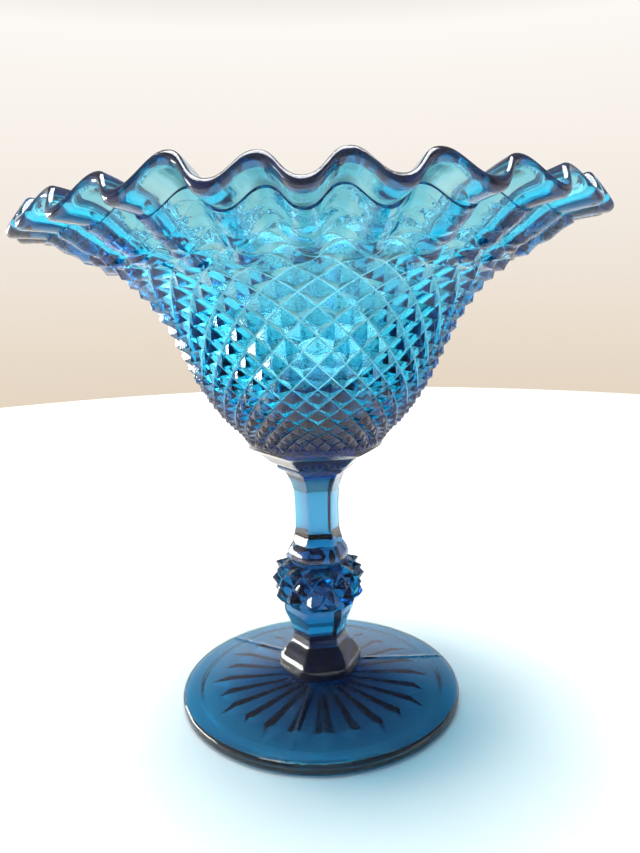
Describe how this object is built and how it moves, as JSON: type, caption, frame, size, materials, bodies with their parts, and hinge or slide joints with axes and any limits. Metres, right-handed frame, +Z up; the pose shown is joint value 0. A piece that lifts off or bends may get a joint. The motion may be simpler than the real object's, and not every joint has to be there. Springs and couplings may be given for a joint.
{
  "type": "footed glass compote",
  "caption": "Footed bowl of blue pressed glass: diamond-point bowl, crimped flaring rim, six-sided stem with a pyramid knop, and a round foot with pressed rays.",
  "frame": {"origin": "centre of the resting ring under the foot, on the surface that the foot stands on", "axes": "+Z up along the stem, -Y the front, +X to the right of someone facing the front"},
  "size_m": [0.1804, 0.1816, 0.1745],
  "materials": {
    "blue_glass": "glossy, fire polished"
  },
  "bodies": {
    "root": {"foot": "blue_glass", "stem_flare": "blue_glass", "stem_drum": "blue_glass", "knop": "blue_glass", "bead": "blue_glass", "shaft": "blue_glass", "collar": "blue_glass", "basin": "blue_glass", "bowl_wall": "blue_glass", "crimped_rim": "blue_glass"}
  },
  "joints": []
}
